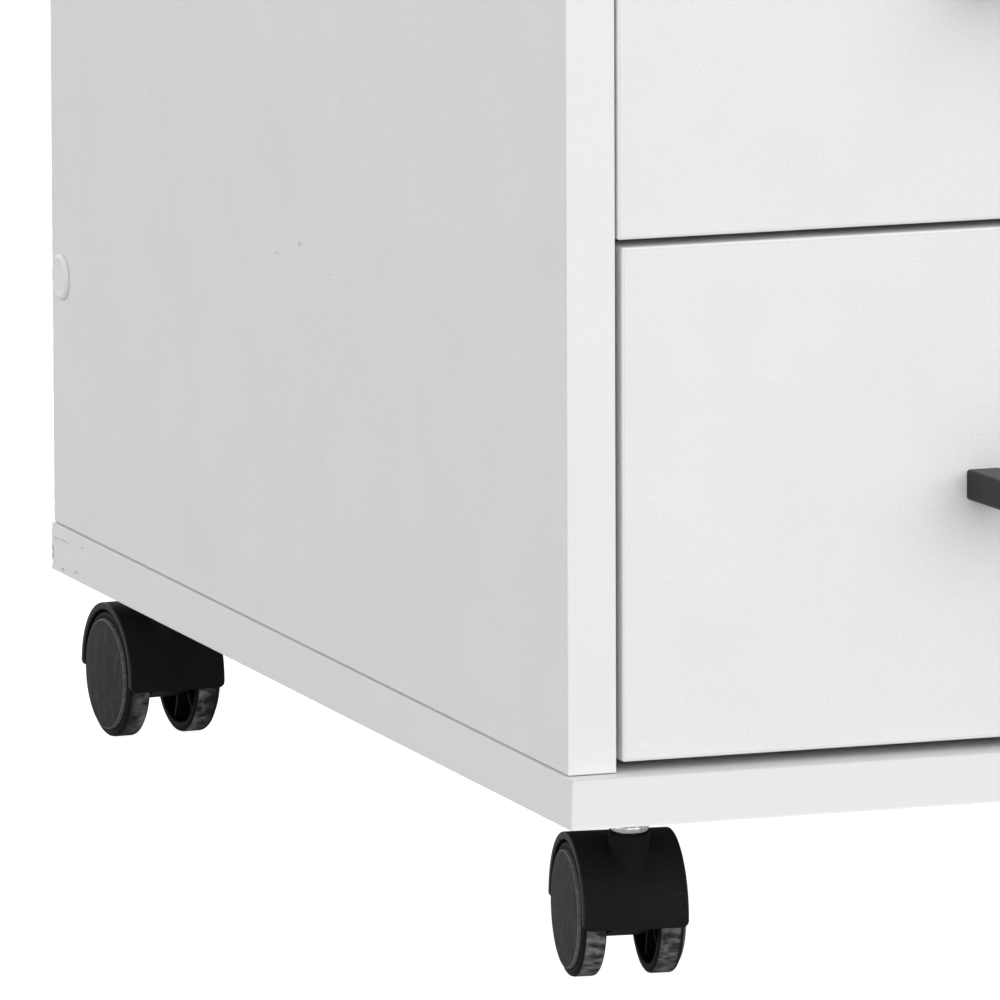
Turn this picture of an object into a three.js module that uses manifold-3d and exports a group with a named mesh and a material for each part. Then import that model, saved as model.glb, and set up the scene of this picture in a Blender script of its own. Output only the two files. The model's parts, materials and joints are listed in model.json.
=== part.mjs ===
// Mobile drawer pedestal: a laminated-board cabinet with three inset drawers, standing on four
// twin-wheel casters. Millimetres, +Z up, and the drawers open towards -Y. The origin is on the
// floor, under the middle of the whole pedestal.
import * as THREE from "three";
import { mergeVertices } from "three/addons/utils/BufferGeometryUtils.js";
import Module from "manifold-3d";

const wasm = await Module();
wasm.setup();

// Cabinet
const board = 15; // thickness of the cabinet's panels and of the drawer fronts
const cabinetWidth = 386; // over the outer faces of the two side panels
const sideDepth = 484.5; // front edge to rear edge of a side panel
const sideHeight = 465; // base panel to top panel
const frontOverhang = 5.5; // top and base panels stand proud of the sides' front edges
const sideOverhang = 1; // and of the sides' outer faces
const backInset = 2.6; // rear edges of the sides to the back panel's rear face

// Screw caps, over the screws that hold the back panel
const capRadius = 7.25;
const capHeight = 1.3;
const capFromPanels = 80; // above the base panel, and below the top panel

// Drawers, from the lowest up. Each hangs a little to one side: its shift is to the right.
const drawers = [
  { name: "bottom", shift: 0.5 },
  { name: "middle", shift: -0.625 },
  { name: "top", shift: 0.25 },
];
const gapBelowFronts = 3.25;
const gapAboveFronts = 3;
const gapBetweenFronts = 2.25;
const gapBesideFronts = 1.5;
const boxBoard = 12; // thickness of a drawer box's sides and back
const boxDepth = 400; // behind the drawer front
const boxRise = 18; // lower edge of the front to lower edge of the box
const boxDrop = 23.5; // upper edge of the front to upper edge of the box
const bottomBoard = 3;
const bottomRise = 10; // lower edge of the box to the underside of its bottom
const grooveDepth = 5; // the bottom slides in grooves in the box's sides
const grooveClearance = 0.3;

// Handles
const handleCentres = 128; // between the middles of the two feet
const handleWidth = 10.6; // of the bar, seen from above
const handleHeight = 9;
const handleReach = 28; // drawer front to the bar's outer face
const handleLean = 4.5; // degrees that each leg leans inwards

// Roller runners
const runnerSpace = 12.5; // cabinet side to drawer box
const runnerLength = 400;
const runnerSetback = 2; // behind the drawer fronts
const runnerSheet = 1.25;
const channelDrop = 4; // cabinet runner's underside, below the drawer box
const channelHeight = 28;
const channelTread = 9.25; // width of the lower flange, on which the drawer's roller runs
const channelLip = 5.5; // width of the upper flange
const hangerFoot = 10; // width of the drawer runner under the box's side
const hangerHeight = 20; // drawer runner, above the drawer box's lower edge
const hangerFlangeRise = 13.75; // underside of the flange that runs on the cabinet's roller
const hangerFlange = 6.5;

// Casters. Each points in a direction of its own: its swivel is in degrees from straight ahead.
const casters = [
  { name: "front_left", side: -1, rear: false, swivel: -6.4 },
  { name: "front_right", side: 1, rear: false, swivel: 4 },
  { name: "rear_left", side: -1, rear: true, swivel: 2 },
  { name: "rear_right", side: 1, rear: true, swivel: -3 },
];
const casterTrail = 13.5; // axle behind the swivel axis
const casterInsetSide = 29.5; // swivel axis to the outer face of the side panel
const casterInsetFront = 29.5; // swivel axis to the front edges of the side panels
const casterInsetRear = 24.5;
const wheelRadius = 20;
const wheelWidth = 9.1;
const wheelSpacing = 15.8; // clear space between the two wheels
const wheelRim = 2.75; // thickness of the rim round the hollow inner face
const wheelDisc = 3; // thickness of the outer disc
const wheelEdge = 1.25; // rounding of the tread's inner edge
const wheelShoulder = 1.5; // width of the slope from the tread to the outer face
const faceRadius = 17.7; // of the smooth outer face, inside its groove
const faceGroove = 0.75;
const faceDome = 0.5;
const hubRadius = 6.5;
const axleRadius = 3;
const axleEngagement = 5; // of each axle end in its wheel
const hoodWidth = 31.9;
const hoodWall = 2.25;
const hoodClearance = 0.6; // hood to wheel tread
const hoodHeadroom = 10.15; // hood to base panel
const hoodFrontDrop = 2.75; // the hood's front lip ends this far below the axle
const hoodRearDrop = 0.8; // and its rear lip this far
const webWidth = 12; // of the web between the wheels
const webBossRadius = 8.5; // round the axle
const runningClearance = 0.35;
const bossRadius = 6.25;
const stemRadius = 4;
const stemGrip = 12; // length of the stem in the base panel
const stemDepth = 22; // length of the stem in the hood
const collarRadius = 5.9;
const collarHeight = 8;

const roundSegments = 24;
const arcSegments = 14;

const laminate = { color: 0xdddddc, roughness: 0.5 };
const hardboard = { color: 0xd8d6d0, roughness: 0.7 };
const blackMetal = { color: 0x2a2a2b, roughness: 0.55, metalness: 0.1 };
const whiteMetal = { color: 0xd9d9d6, roughness: 0.4, metalness: 0.1 };
const whitePlastic = { color: 0xe4e4e2, roughness: 0.45 };
const blackNylon = { color: 0x161617, roughness: 0.6 };
const wheelNylon = { color: 0x2f2f31, roughness: 0.7 };
const zinc = { color: 0xb8babd, roughness: 0.3, metalness: 1 };

const left = -1;
const right = 1;
const innerWidth = cabinetWidth - 2 * board;
const casterHeight = 2 * wheelRadius + hoodClearance + hoodWall + hoodHeadroom;
const baseTop = casterHeight + board;
const sideTop = baseTop + sideHeight;
const allGaps = gapBelowFronts + gapAboveFronts + (drawers.length - 1) * gapBetweenFronts;
const frontHeight = (sideHeight - allGaps) / drawers.length;
const frontWidth = innerWidth - 2 * gapBesideFronts;
const boxHeight = frontHeight - boxRise - boxDrop;
const boxWidth = innerWidth - 2 * runnerSpace;

function sideName(side) {
  return side === left ? "left" : "right";
}

function part(name, geometry, material, x = 0, y = 0, z = 0) {
  const mesh = new THREE.Mesh(geometry, new THREE.MeshStandardMaterial(material));
  mesh.name = name;
  mesh.position.set(x, y, z);
  return mesh;
}

// A flat panel between two corners.
function panel(name, material, low, high) {
  const [x, y, z] = low.map((value, axis) => (value + high[axis]) / 2);
  const mesh = part(name, new THREE.BoxGeometry(1, 1, 1), material, x, y, z);
  mesh.scale.set(high[0] - low[0], high[1] - low[1], high[2] - low[2]);
  return mesh;
}

function outline(points) {
  return new THREE.Shape(points.map(([x, y]) => new THREE.Vector2(x, y)));
}

function circle(radius) {
  const shape = new THREE.Shape();
  shape.absarc(0, 0, radius, 0, 2 * Math.PI, false);
  return shape;
}

function extrude(shape, depth) {
  return new THREE.ExtrudeGeometry(shape, {
    depth,
    curveSegments: arcSegments,
    bevelEnabled: false,
  });
}

// An outline drawn in Y and Z, extruded along X to both sides of x = 0.
function extrudeAcross(shape, width) {
  const turn = new THREE.Matrix4().makeBasis(
    new THREE.Vector3(0, 1, 0),
    new THREE.Vector3(0, 0, 1),
    new THREE.Vector3(1, 0, 0),
  );
  return extrude(shape, width).applyMatrix4(turn).translate(-width / 2, 0, 0);
}

// An outline drawn in X and Z, extruded along +Y from y = 0.
function extrudeBack(shape, depth) {
  return extrude(shape, depth).rotateX(Math.PI / 2).translate(0, depth, 0);
}

// A profile of radius and height, turned round the Y axis.
function lathe(profile) {
  const points = profile.map(([radius, height]) => new THREE.Vector2(radius, height));
  return new THREE.LatheGeometry(points, roundSegments);
}

// Turns a shape made round the Y axis so that its +Y end faces outwards on that side.
function faceOutwards(geometry, side) {
  return geometry.rotateZ((-side * Math.PI) / 2);
}

// A cylinder round a vertical axis, between two heights.
function upright(radius, low, high) {
  return new THREE.CylinderGeometry(radius, radius, high - low, roundSegments)
    .rotateX(Math.PI / 2)
    .translate(0, 0, (low + high) / 2);
}

function solid(geometry) {
  const bare = geometry.clone();
  bare.deleteAttribute("normal");
  bare.deleteAttribute("uv");
  const merged = mergeVertices(bare, 1e-3);
  return new wasm.Manifold(
    new wasm.Mesh({
      numProp: 3,
      vertProperties: merged.attributes.position.array,
      triVerts: new Uint32Array(merged.index.array),
    }),
  );
}

function geometryOf(manifold) {
  const mesh = manifold.getMesh();
  const geometry = new THREE.BufferGeometry()
    .setAttribute("position", new THREE.BufferAttribute(mesh.vertProperties, 3))
    .setIndex(new THREE.BufferAttribute(mesh.triVerts, 1))
    .toNonIndexed();
  geometry.computeVertexNormals();
  return geometry;
}

// Swivel axis of a caster, from the middle of the cabinet and the front edges of its sides.
function casterPlace({ side, rear }) {
  const x = side * (cabinetWidth / 2 - casterInsetSide);
  return [x, rear ? sideDepth - casterInsetRear : casterInsetFront];
}

// The base panel, drilled from below for the caster stems. Its underside is at z = 0.
function basePanel(low, high) {
  const middle = (low + high) / 2;
  let made = solid(
    new THREE.BoxGeometry(cabinetWidth + 2 * sideOverhang, high - low, board).translate(
      0,
      middle,
      board / 2,
    ),
  );
  const hole = upright(stemRadius + runningClearance, -1, stemGrip + runningClearance);
  for (const caster of casters) {
    const [x, y] = casterPlace(caster);
    made = made.subtract(solid(hole.clone().translate(x, y, 0)));
  }
  return geometryOf(made);
}

// A shallow domed disc, flat below, round the Y axis.
function screwCap() {
  const steps = 4;
  const profile = [
    [0, 0],
    [capRadius, 0],
  ];
  for (let step = 1; step < steps; step++) {
    const turn = (step / steps) * (Math.PI / 2);
    profile.push([capRadius * Math.cos(turn), capHeight * Math.sin(turn)]);
  }
  profile.push([0, capHeight]);
  return lathe(profile);
}

function addScrewCaps(group) {
  const y = sideDepth - backInset - board / 2;
  const levels = { lower: baseTop + capFromPanels, upper: sideTop - capFromPanels };
  for (const side of [left, right]) {
    for (const [level, z] of Object.entries(levels)) {
      const name = `${level}_${sideName(side)}_screw_cap`;
      const x = (side * cabinetWidth) / 2;
      group.add(part(name, faceOutwards(screwCap(), side), whitePlastic, x, y, z));
    }
  }
}

// The cabinet without its runners, from the front edges of its sides at y = 0.
function cabinet() {
  const group = new THREE.Group();
  const outer = cabinetWidth / 2;
  const inner = innerWidth / 2;
  const proud = outer + sideOverhang;
  const backRear = sideDepth - backInset;
  group.add(
    part("base_panel", basePanel(-frontOverhang, sideDepth), laminate, 0, 0, casterHeight),
    panel(
      "top_panel",
      laminate,
      [-proud, -frontOverhang, sideTop],
      [proud, sideDepth, sideTop + board],
    ),
    panel("left_side_panel", laminate, [-outer, 0, baseTop], [-inner, sideDepth, sideTop]),
    panel("right_side_panel", laminate, [inner, 0, baseTop], [outer, sideDepth, sideTop]),
    panel("back_panel", laminate, [-inner, backRear - board, baseTop], [inner, backRear, sideTop]),
  );
  addScrewCaps(group);
  return group;
}

// A side of a drawer box, from its outer lower corner inwards, with the groove for the bottom.
function boxSide(side) {
  const grooveFloor = boxBoard - grooveDepth;
  const grooveLow = bottomRise - grooveClearance;
  const grooveHigh = bottomRise + bottomBoard + grooveClearance;
  const points = [
    [0, 0],
    [boxBoard, 0],
    [boxBoard, grooveLow],
    [grooveFloor, grooveLow],
    [grooveFloor, grooveHigh],
    [boxBoard, grooveHigh],
    [boxBoard, boxHeight],
    [0, boxHeight],
  ];
  return extrudeBack(outline(points.map(([x, z]) => [-side * x, z])), boxDepth);
}

// A bar bent into a bow, seen from above: its feet stand on y = 0 and it reaches to -Y.
function handle() {
  const lean = Math.tan(THREE.MathUtils.degToRad(handleLean));
  const outerFoot = (handleCentres + handleWidth) / 2;
  const innerFoot = outerFoot - handleWidth;
  const innerReach = handleReach - handleWidth;
  const half = [
    [innerFoot - innerReach * lean, -innerReach],
    [innerFoot, 0],
    [outerFoot, 0],
    [outerFoot - handleReach * lean, -handleReach],
  ];
  const mirrored = half.map(([x, y]) => [-x, y]).reverse();
  return extrude(outline([...half, ...mirrored]), handleHeight);
}

// The channel on a cabinet side, from that side's inner face and the drawer box's lower edge.
function cabinetRunner(side) {
  const low = -channelDrop;
  const high = channelHeight - channelDrop;
  const points = [
    [0, low],
    [channelTread, low],
    [channelTread, low + runnerSheet],
    [runnerSheet, low + runnerSheet],
    [runnerSheet, high - runnerSheet],
    [channelLip, high - runnerSheet],
    [channelLip, high],
    [0, high],
  ];
  return extrudeBack(outline(points.map(([x, z]) => [-side * x, z])), runnerLength);
}

// The bracket under a side of the drawer box, from the box's outer lower corner.
function drawerRunner(side) {
  const flangeTop = hangerFlangeRise + runnerSheet;
  const points = [
    [-hangerFoot, -runnerSheet],
    [runnerSheet, -runnerSheet],
    [runnerSheet, hangerFlangeRise],
    [hangerFlange, hangerFlangeRise],
    [hangerFlange, flangeTop],
    [runnerSheet, flangeTop],
    [runnerSheet, hangerHeight],
    [0, hangerHeight],
    [0, 0],
    [-hangerFoot, 0],
  ];
  return extrudeBack(outline(points.map(([x, z]) => [side * x, z])), runnerLength);
}

// One drawer, with its front's lower edge at z = 0 and its front face at y = 0.
function drawer(name) {
  const group = new THREE.Group();
  const outer = boxWidth / 2;
  const inner = outer - boxBoard;
  const rear = board + boxDepth;
  const low = boxRise + bottomRise;
  const inGroove = inner + grooveDepth - grooveClearance;
  group.add(
    panel(
      `${name}_drawer_front`,
      laminate,
      [-frontWidth / 2, 0, 0],
      [frontWidth / 2, board, frontHeight],
    ),
    part(`${name}_drawer_handle`, handle(), blackMetal, 0, 0, (frontHeight - handleHeight) / 2),
    panel(
      `${name}_box_back`,
      laminate,
      [-inner, rear - boxBoard, low + bottomBoard + grooveClearance],
      [inner, rear, boxRise + boxHeight],
    ),
    panel(
      `${name}_box_bottom`,
      hardboard,
      [-inGroove, board + grooveClearance, low],
      [inGroove, rear, low + bottomBoard],
    ),
  );
  for (const side of [left, right]) {
    const x = side * outer;
    const wall = `${name}_box_${sideName(side)}_side`;
    const runner = `${name}_${sideName(side)}_drawer_runner`;
    group.add(
      part(wall, boxSide(side), laminate, x, board, boxRise),
      part(runner, drawerRunner(side), whiteMetal, x, board + runnerSetback, boxRise),
    );
  }
  return group;
}

// All the drawers, each with the runners that it slides on.
function drawerStack() {
  const group = new THREE.Group();
  drawers.forEach(({ name, shift }, index) => {
    const low = baseTop + gapBelowFronts + index * (frontHeight + gapBetweenFronts);
    const sliding = drawer(name);
    sliding.position.set(shift, 0, low);
    group.add(sliding);
    for (const side of [left, right]) {
      const runner = `${name}_${sideName(side)}_cabinet_runner`;
      const x = (side * innerWidth) / 2;
      const z = low + boxRise;
      group.add(part(runner, cabinetRunner(side), whiteMetal, x, board + runnerSetback, z));
    }
  });
  return group;
}

// Fixed in the base panel above z = 0, with a collar below it and a pin on which the hood turns.
function casterStem() {
  const pinEnd = -collarHeight - stemDepth;
  return lathe([
    [0, pinEnd],
    [stemRadius, pinEnd],
    [stemRadius, -collarHeight],
    [collarRadius, -collarHeight],
    [collarRadius, 0],
    [stemRadius, 0],
    [stemRadius, stemGrip],
    [0, stemGrip],
  ]).rotateX(Math.PI / 2);
}

function casterAxle() {
  const length = wheelSpacing + 2 * axleEngagement;
  return new THREE.CylinderGeometry(axleRadius, axleRadius, length, roundSegments).rotateZ(
    Math.PI / 2,
  );
}

// One wheel round the Y axis: hollow from y = 0, with a hub that takes the axle and reaches back to
// the web, and smooth at the far end.
function casterWheel() {
  const bore = axleRadius + runningClearance;
  const boreEnd = axleEngagement + runningClearance;
  const hubEnd = (webWidth - wheelSpacing) / 2 + runningClearance;
  const rimInside = wheelRadius - wheelRim;
  const discInside = wheelWidth - wheelDisc;
  const faceHeight = wheelWidth - faceDome;
  const grooveFloor = faceHeight - faceGroove;
  return lathe([
    [0, boreEnd],
    [bore, boreEnd],
    [bore, hubEnd],
    [hubRadius, hubEnd],
    [hubRadius, discInside],
    [rimInside, discInside],
    [rimInside, 0],
    [wheelRadius - wheelEdge, 0],
    [wheelRadius, wheelEdge],
    [wheelRadius, grooveFloor - wheelShoulder],
    [faceRadius + faceGroove, grooveFloor],
    [faceRadius, grooveFloor],
    [faceRadius, faceHeight],
    [0, wheelWidth],
  ]);
}

// The hood round the axle at the origin: a shell over both wheels, a web between them, and a boss
// ahead of the axle that turns on the stem.
function casterHood() {
  const innerRadius = wheelRadius + hoodClearance;
  const outerRadius = innerRadius + hoodWall;
  const midRadius = innerRadius + hoodWall / 2;
  const rearEnd = -Math.asin(hoodRearDrop / outerRadius);
  const frontEnd = Math.PI + Math.asin(hoodFrontDrop / outerRadius);
  const bossTop = casterHeight - wheelRadius - collarHeight - runningClearance;
  const bossFloor = bossTop - stemDepth - runningClearance;

  const shell = new THREE.Shape();
  shell.absarc(0, 0, outerRadius, rearEnd, frontEnd, false);
  shell.absarc(0, 0, innerRadius, frontEnd, rearEnd, true);

  const web = new THREE.Shape();
  web.absarc(0, 0, midRadius, rearEnd, frontEnd, false);
  web.absarc(0, 0, webBossRadius, 1.3 * Math.PI, 1.8 * Math.PI, false);

  const boss = upright(bossRadius, 0, bossTop).translate(0, -casterTrail, 0);
  const stemBore = upright(stemRadius + runningClearance, bossFloor, bossTop + 1);
  const axleBore = extrudeAcross(circle(axleRadius + runningClearance), hoodWidth);
  const made = solid(boss)
    .subtract(solid(extrudeAcross(circle(midRadius), hoodWidth)))
    .add(solid(extrudeAcross(shell, hoodWidth)))
    .add(solid(extrudeAcross(web, webWidth)))
    .subtract(solid(stemBore.translate(0, -casterTrail, 0)))
    .subtract(solid(axleBore));
  return geometryOf(made);
}

// One caster under the base panel: its swivel axis is at the origin and the panel at z = 0.
function caster({ name, swivel }) {
  const turning = new THREE.Group();
  const place = [0, casterTrail, wheelRadius - casterHeight];
  turning.add(
    part(`${name}_caster_hood`, casterHood(), blackNylon, ...place),
    part(`${name}_caster_axle`, casterAxle(), zinc, ...place),
  );
  for (const side of [left, right]) {
    const wheel = part(
      `${name}_caster_${sideName(side)}_wheel`,
      faceOutwards(casterWheel(), side),
      wheelNylon,
      ...place,
    );
    wheel.position.x = (side * wheelSpacing) / 2;
    turning.add(wheel);
  }
  turning.rotation.z = THREE.MathUtils.degToRad(swivel);
  const group = new THREE.Group();
  group.add(turning, part(`${name}_caster_stem`, casterStem(), zinc));
  return group;
}

const pedestal = new THREE.Group();
pedestal.name = "drawer_pedestal";
pedestal.add(cabinet(), drawerStack());
for (const place of casters) {
  const hanging = caster(place);
  hanging.position.set(...casterPlace(place), casterHeight);
  pedestal.add(hanging);
}

// Everything above is measured from the sides' front edges: this brings the middle to y = 0.
const extent = new THREE.Box3().setFromObject(pedestal, true);
pedestal.position.y = -(extent.min.y + extent.max.y) / 2;

export default pedestal;
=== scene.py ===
# Mobile drawer pedestal: white laminated boards, three inset drawers and hooded twin-wheel casters.
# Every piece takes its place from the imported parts. Metres, +Z up, and the drawers open towards -Y.
import json
import math
import random

import bmesh
import bpy
from mathutils import Matrix, Vector


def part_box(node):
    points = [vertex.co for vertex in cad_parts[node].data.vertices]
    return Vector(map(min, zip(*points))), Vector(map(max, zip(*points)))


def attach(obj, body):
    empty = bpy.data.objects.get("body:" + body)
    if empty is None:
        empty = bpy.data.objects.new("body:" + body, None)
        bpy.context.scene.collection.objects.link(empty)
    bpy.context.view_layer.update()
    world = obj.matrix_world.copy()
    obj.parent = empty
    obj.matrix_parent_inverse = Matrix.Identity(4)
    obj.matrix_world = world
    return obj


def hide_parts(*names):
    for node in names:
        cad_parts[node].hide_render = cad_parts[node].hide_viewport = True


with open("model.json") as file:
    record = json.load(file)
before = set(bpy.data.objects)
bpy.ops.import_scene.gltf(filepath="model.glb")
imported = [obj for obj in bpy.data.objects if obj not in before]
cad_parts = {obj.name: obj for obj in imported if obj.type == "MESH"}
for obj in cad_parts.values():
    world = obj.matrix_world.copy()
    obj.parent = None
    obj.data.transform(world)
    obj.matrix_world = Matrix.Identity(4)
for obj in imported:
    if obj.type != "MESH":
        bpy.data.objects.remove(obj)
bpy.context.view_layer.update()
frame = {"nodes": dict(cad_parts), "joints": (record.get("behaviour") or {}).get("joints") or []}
scene = bpy.context.scene
drawerNames = ["bottom", "middle", "top"]
casterNames = ["front_left", "front_right", "rear_left", "rear_right"]
sides = {"left": -1, "right": 1}
mm = 0.001
weld = 1e-7  # points nearer than this become one
print("frame loaded:", len(frame["nodes"]), "parts")


# camera, measured from the lower front corner of the left side panel
viewing = {
    "lens": 608.2,
    "sensor": 36,
    "clip": (0.1, 200),
    "fromCorner": Vector((-1.6251, -4.5537, 0.8787)),
    "yaw": 19.41,
    "pitch": 9.36,
    "roll": -0.215,
}
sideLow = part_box("left_side_panel")[0]
cameraData = bpy.data.cameras.new("camera")
cameraData.lens = viewing["lens"]
cameraData.sensor_width = viewing["sensor"]
cameraData.clip_start, cameraData.clip_end = viewing["clip"]
camera = bpy.data.objects.new("camera", cameraData)
scene.collection.objects.link(camera)
turn = Matrix.Rotation(math.radians(-viewing["yaw"]), 4, "Z")
tilt = Matrix.Rotation(math.radians(90 - viewing["pitch"]), 4, "X")
roll = Matrix.Rotation(math.radians(viewing["roll"]), 4, "Z")
camera.matrix_world = Matrix.Translation(sideLow + viewing["fromCorner"]) @ turn @ tilt @ roll
scene.camera = camera
scene.view_settings.view_transform = "Standard"


# lights, backdrop and floor
studio = {
    "backdrop": 1.06,  # what the camera sees
    "horizon": 1.33,  # what lights the pedestal, from low down
    "zenith": 0.44,  # and from overhead
    "foreAndAft": 1.5,  # how much brighter it is ahead and behind than at the sides
    "floorGlow": 0.96,
    "floorLight": 0.21,  # glow of the floor as the pedestal sees it
    "floorTone": 0.34,
    "keyPower": 33,
    "keyPlace": Vector((1.5, -2.7, 1.9)),
    "keySize": 3.4,
    "keyAim": Vector((0, 0, 0.25)),
    "floorSize": 60,
}


def addNode(tree, kind, settings=None, sockets=None):
    node = tree.nodes.new(kind)
    for name, value in (settings or {}).items():
        setattr(node, name, value)
    for name, value in (sockets or {}).items():
        if isinstance(value, bpy.types.NodeSocket):
            tree.links.new(value, node.inputs[name])
        else:
            node.inputs[name].default_value = value
    return node


def calculate(tree, operation, first, second):
    return addNode(tree, "ShaderNodeMath", {"operation": operation}, {0: first, 1: second}).outputs[0]


def remap(tree, value, low, high, toLow, toHigh):
    sockets = {"Value": value, "From Min": low, "From Max": high, "To Min": toLow, "To Max": toHigh}
    return addNode(tree, "ShaderNodeMapRange", None, sockets).outputs[0]


def lightWorld():
    world = bpy.data.worlds.new("studio")
    scene.world = world
    world.use_nodes = True
    tree = world.node_tree
    tree.nodes.clear()
    white = (1, 1, 1, 1)
    seen = addNode(tree, "ShaderNodeBackground", None, {"Color": white, "Strength": studio["backdrop"]})
    direction = addNode(tree, "ShaderNodeTexCoord").outputs["Generated"]
    parts = addNode(tree, "ShaderNodeSeparateXYZ", None, {0: direction}).outputs
    sky = remap(tree, parts["Z"], 0.0, 1.0, studio["horizon"], studio["zenith"])
    ahead = calculate(tree, "MULTIPLY", parts["Y"], parts["Y"])
    sky = calculate(tree, "MULTIPLY", sky, remap(tree, ahead, 0.0, 1.0, 1.0, studio["foreAndAft"]))
    lit = addNode(tree, "ShaderNodeBackground", None, {"Color": white, "Strength": sky})
    path = addNode(tree, "ShaderNodeLightPath").outputs["Is Camera Ray"]
    mix = addNode(tree, "ShaderNodeMixShader", None, {0: path, 1: lit.outputs[0], 2: seen.outputs[0]})
    addNode(tree, "ShaderNodeOutputWorld", None, {"Surface": mix.outputs[0]})


def addKeyLight():
    key = bpy.data.lights.new("key", "AREA")
    key.shape = "DISK"
    key.size = studio["keySize"]
    key.energy = studio["keyPower"]
    lamp = bpy.data.objects.new("key", key)
    scene.collection.objects.link(lamp)
    facing = (studio["keyAim"] - studio["keyPlace"]).to_track_quat("-Z", "Y").to_matrix().to_4x4()
    lamp.matrix_world = Matrix.Translation(studio["keyPlace"]) @ facing


def addFloor():
    bm = bmesh.new()
    bmesh.ops.create_grid(bm, x_segments=1, y_segments=1, size=studio["floorSize"] / 2)
    mesh = bpy.data.meshes.new("floor")
    bm.to_mesh(mesh)
    bm.free()
    floor = bpy.data.objects.new("floor", mesh)
    scene.collection.objects.link(floor)
    material = bpy.data.materials.new("floorWhite")
    material.use_nodes = True
    tree = material.node_tree
    shader = tree.nodes["Principled BSDF"]
    tone = studio["floorTone"]
    shader.inputs["Base Color"].default_value = (tone, tone, tone, 1)
    shader.inputs["Roughness"].default_value = 1
    shader.inputs["Specular IOR Level"].default_value = 0
    shader.inputs["Emission Color"].default_value = (1, 1, 1, 1)
    path = addNode(tree, "ShaderNodeLightPath").outputs["Is Camera Ray"]
    glow = remap(tree, path, 0, 1, studio["floorLight"], studio["floorGlow"])
    tree.links.new(glow, shader.inputs["Emission Strength"])
    mesh.materials.append(material)


lightWorld()
addKeyLight()
addFloor()
print("camera and studio ready")


# shared surface effects, each a node group
def newGroup(name, inputs, outputs):
    tree = bpy.data.node_groups.new(name, "ShaderNodeTree")
    for socket, kind in inputs.items():
        tree.interface.new_socket(socket, in_out="INPUT", socket_type=kind)
    for socket in outputs:
        tree.interface.new_socket(socket, in_out="OUTPUT", socket_type="NodeSocketFloat")
    return tree, tree.nodes.new("NodeGroupInput"), tree.nodes.new("NodeGroupOutput")


def noise(tree, place, scale, detail, distortion=0.0):
    sockets = {"Vector": place, "Scale": scale, "Detail": detail, "Distortion": distortion}
    return addNode(tree, "ShaderNodeTexNoise", None, sockets).outputs[0]


noiseSpan = (0.3, 0.7)  # where most of a noise's values lie
grainShape = {"detail": 3.0, "cloudScale": 0.021, "cloudDetail": 2.0}
# "patches", "streaks" and "lines" are a noise's detail and distortion.
scuffShape = {
    "patches": (5.0, 0.7),
    "streaks": (3.0, 1.5),
    "threshold": 0.78,
    "coverReach": 0.5,
    "softness": 0.16,
    "streakScale": 4.5,
    "faintest": 0.35,
}
scratchShape = {
    "lines": (1.0, 0.2),
    "patchDetail": 1.0,
    "slant": math.radians(34),
    "stretch": (12, 26, 1),
    "threshold": 0.8,
    "coverReach": 0.3,
    "full": 0.86,
    "patchScale": 0.9,
    "patch": (0.55, 0.66),
}
fleckShape = {"patches": (4.0, 0.4), "span": (0.36, 0.68), "faintest": 0.06}
nickShape = {"raggedScale": 900.0, "detail": 2.0, "raggedness": (-0.4, 0.5), "edge": (0.6, 1.0)}
alongSpan = (0.0, 0.2)  # values of an attribute over which wear fades in
reliefDepth = 0.1 * mm


def vectorMath(tree, operation, first, second=(0, 0, 0)):
    sockets = {0: first, 1: second}
    return addNode(tree, "ShaderNodeVectorMath", {"operation": operation}, sockets).outputs


def makeGrain():
    tree, given, put = newGroup(
        "grain",
        {"Vector": "NodeSocketVector", "Size": "NodeSocketFloat", "Clouding": "NodeSocketFloat"},
        ["Mask", "Height"],
    )
    place = given.outputs["Vector"]
    scale = calculate(tree, "DIVIDE", 1.0, given.outputs["Size"])
    fine = noise(tree, place, scale, grainShape["detail"])
    cloudScale = calculate(tree, "MULTIPLY", scale, grainShape["cloudScale"])
    broad = noise(tree, place, cloudScale, grainShape["cloudDetail"])
    sockets = {0: given.outputs["Clouding"], 2: fine, 3: broad}
    blend = addNode(tree, "ShaderNodeMix", {"data_type": "FLOAT"}, sockets)
    tree.links.new(remap(tree, blend.outputs[0], *noiseSpan, 0.0, 1.0), put.inputs["Mask"])
    tree.links.new(fine, put.inputs["Height"])
    return tree


def makeScuffs():
    tree, given, put = newGroup(
        "scuffs",
        {"Vector": "NodeSocketVector", "Size": "NodeSocketFloat", "Cover": "NodeSocketFloat"},
        ["Mask"],
    )
    shape = scuffShape
    place = given.outputs["Vector"]
    scale = calculate(tree, "DIVIDE", 1.0, given.outputs["Size"])
    patches = noise(tree, place, scale, *shape["patches"])
    streakScale = calculate(tree, "MULTIPLY", scale, shape["streakScale"])
    streaks = noise(tree, place, streakScale, *shape["streaks"])
    reach = calculate(tree, "MULTIPLY", given.outputs["Cover"], shape["coverReach"])
    start = calculate(tree, "SUBTRACT", shape["threshold"], reach)
    sockets = {
        "Value": patches,
        "From Min": start,
        "From Max": calculate(tree, "ADD", start, shape["softness"]),
    }
    spread = addNode(tree, "ShaderNodeMapRange", {"interpolation_type": "SMOOTHSTEP"}, sockets)
    streaky = remap(tree, streaks, *noiseSpan, shape["faintest"], 1.0)
    tree.links.new(calculate(tree, "MULTIPLY", spread.outputs[0], streaky), put.inputs["Mask"])
    return tree


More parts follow.
